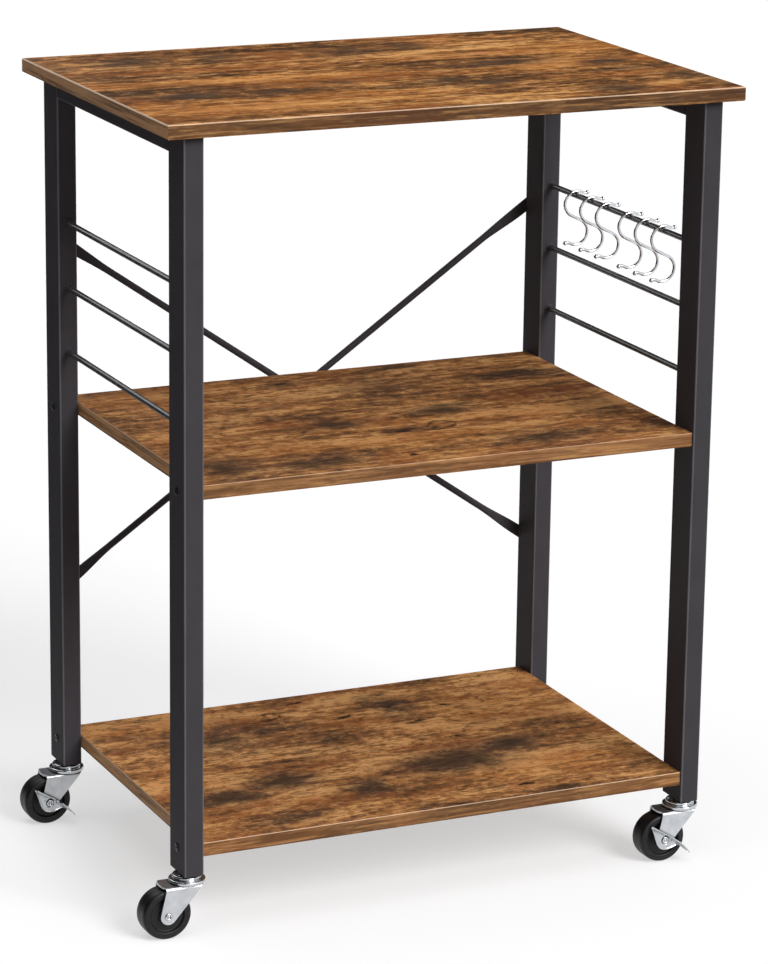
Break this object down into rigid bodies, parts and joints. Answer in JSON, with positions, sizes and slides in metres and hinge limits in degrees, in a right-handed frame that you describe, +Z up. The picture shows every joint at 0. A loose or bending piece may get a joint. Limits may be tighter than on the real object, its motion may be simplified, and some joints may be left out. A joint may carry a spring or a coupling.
{
  "type": "bakers rack",
  "caption": "Free-standing kitchen rack: wooden board and shelves in a black tube frame with side rods, hanging S-hooks, crossed rear braces and swivel casters.",
  "frame": {"origin": "on the floor under the middle of the boards", "axes": "+Z up, +X along the long side to the right as seen from the front, +Y to the rear"},
  "size_m": [0.62, 0.4, 0.8],
  "materials": {
    "rustic_wood": "satin rustic brown wood-grain surface with matching edge band",
    "black_powder_coat": "matte black powder coat",
    "black_bolt": "black oxide",
    "plug_plastic": "moulded black plastic",
    "zinc_plate": "bright zinc plate on pressed steel",
    "axle_steel": "plain steel rivet",
    "wheel_black": "satin black moulded wheel",
    "hook_chrome": "polished chrome plate on wire"
  },
  "bodies": {
    "frame": {"top_board": "rustic_wood", "middle_shelf": "rustic_wood", "bottom_shelf": "rustic_wood", "front_left_leg": "black_powder_coat", "front_right_leg": "black_powder_coat", "rear_left_leg": "black_powder_coat", "rear_right_leg": "black_powder_coat", "left_top_rail": "black_powder_coat", "right_top_rail": "black_powder_coat", "left_lower_rod": "black_powder_coat", "left_middle_rod": "black_powder_coat", "left_upper_rod": "black_powder_coat", "right_lower_rod": "black_powder_coat", "right_middle_rod": "black_powder_coat", "right_upper_rod": "black_powder_coat", "falling_brace": "black_powder_coat", "rising_brace": "black_powder_coat", "shelf_bolts": "black_bolt", "brace_bolts": "black_bolt", "leg_plugs": "plug_plastic", "caster_stems": "zinc_plate"},
    "front_left_caster": {"front_left_fork": "zinc_plate", "front_left_axle": "axle_steel"},
    "front_left_roller": {"front_left_wheel": "wheel_black"},
    "front_right_caster": {"front_right_fork": "zinc_plate", "front_right_axle": "axle_steel"},
    "front_right_roller": {"front_right_wheel": "wheel_black"},
    "front_right_brake": {"front_right_brake_lever": "zinc_plate"},
    "rear_left_caster": {"rear_left_fork": "zinc_plate", "rear_left_axle": "axle_steel"},
    "rear_left_roller": {"rear_left_wheel": "wheel_black"},
    "rear_left_brake": {"rear_left_brake_lever": "zinc_plate"},
    "rear_right_caster": {"rear_right_fork": "zinc_plate", "rear_right_axle": "axle_steel"},
    "rear_right_roller": {"rear_right_wheel": "wheel_black"},
    "hook_1": {"s_hook_1": "hook_chrome"},
    "hook_2": {"s_hook_2": "hook_chrome"},
    "hook_3": {"s_hook_3": "hook_chrome"},
    "hook_4": {"s_hook_4": "hook_chrome"},
    "hook_5": {"s_hook_5": "hook_chrome"},
    "hook_6": {"s_hook_6": "hook_chrome"}
  },
  "joints": [
    {"name": "front_left_swivel", "type": "hinge", "parent": "frame", "child": "front_left_caster", "pos_m": [-0.271, -0.171, 0.065], "axis": [0, 0, 1], "continuous": true},
    {"name": "front_left_roll", "type": "hinge", "parent": "front_left_caster", "child": "front_left_roller", "pos_m": [-0.295, -0.171, 0.025], "axis": [0, 1, 0], "continuous": true},
    {"name": "front_right_swivel", "type": "hinge", "parent": "frame", "child": "front_right_caster", "pos_m": [0.271, -0.171, 0.065], "axis": [0, 0, 1], "continuous": true},
    {"name": "front_right_roll", "type": "hinge", "parent": "front_right_caster", "child": "front_right_roller", "pos_m": [0.247, -0.171, 0.025], "axis": [0, 1, 0], "continuous": true},
    {"name": "front_right_brake_pivot", "type": "hinge", "parent": "front_right_caster", "child": "front_right_brake", "pos_m": [0.247, -0.171, 0.025], "axis": [0, -1, 0], "range_deg": [0, 40]},
    {"name": "rear_left_swivel", "type": "hinge", "parent": "frame", "child": "rear_left_caster", "pos_m": [-0.271, 0.171, 0.065], "axis": [0, 0, 1], "continuous": true},
    {"name": "rear_left_roll", "type": "hinge", "parent": "rear_left_caster", "child": "rear_left_roller", "pos_m": [-0.295, 0.171, 0.025], "axis": [0, 1, 0], "continuous": true},
    {"name": "rear_left_brake_pivot", "type": "hinge", "parent": "rear_left_caster", "child": "rear_left_brake", "pos_m": [-0.295, 0.171, 0.025], "axis": [0, -1, 0], "range_deg": [0, 40]},
    {"name": "rear_right_swivel", "type": "hinge", "parent": "frame", "child": "rear_right_caster", "pos_m": [0.271, 0.171, 0.065], "axis": [0, 0, 1], "continuous": true},
    {"name": "rear_right_roll", "type": "hinge", "parent": "rear_right_caster", "child": "rear_right_roller", "pos_m": [0.247, 0.171, 0.025], "axis": [0, 1, 0], "continuous": true},
    {"name": "hook_1_swing", "type": "hinge", "parent": "frame", "child": "hook_1", "pos_m": [0.271, 0.0925, 0.64], "axis": [0, 1, 0], "range_deg": [-60, 60]},
    {"name": "hook_2_swing", "type": "hinge", "parent": "frame", "child": "hook_2", "pos_m": [0.271, 0.0575, 0.64], "axis": [0, 1, 0], "range_deg": [-60, 60]},
    {"name": "hook_3_swing", "type": "hinge", "parent": "frame", "child": "hook_3", "pos_m": [0.271, 0.0225, 0.64], "axis": [0, 1, 0], "range_deg": [-60, 60]},
    {"name": "hook_4_swing", "type": "hinge", "parent": "frame", "child": "hook_4", "pos_m": [0.271, -0.0275, 0.64], "axis": [0, 1, 0], "range_deg": [-60, 60]},
    {"name": "hook_5_swing", "type": "hinge", "parent": "frame", "child": "hook_5", "pos_m": [0.271, -0.0625, 0.64], "axis": [0, 1, 0], "range_deg": [-60, 60]},
    {"name": "hook_6_swing", "type": "hinge", "parent": "frame", "child": "hook_6", "pos_m": [0.271, -0.0975, 0.64], "axis": [0, 1, 0], "range_deg": [-60, 60]}
  ]
}
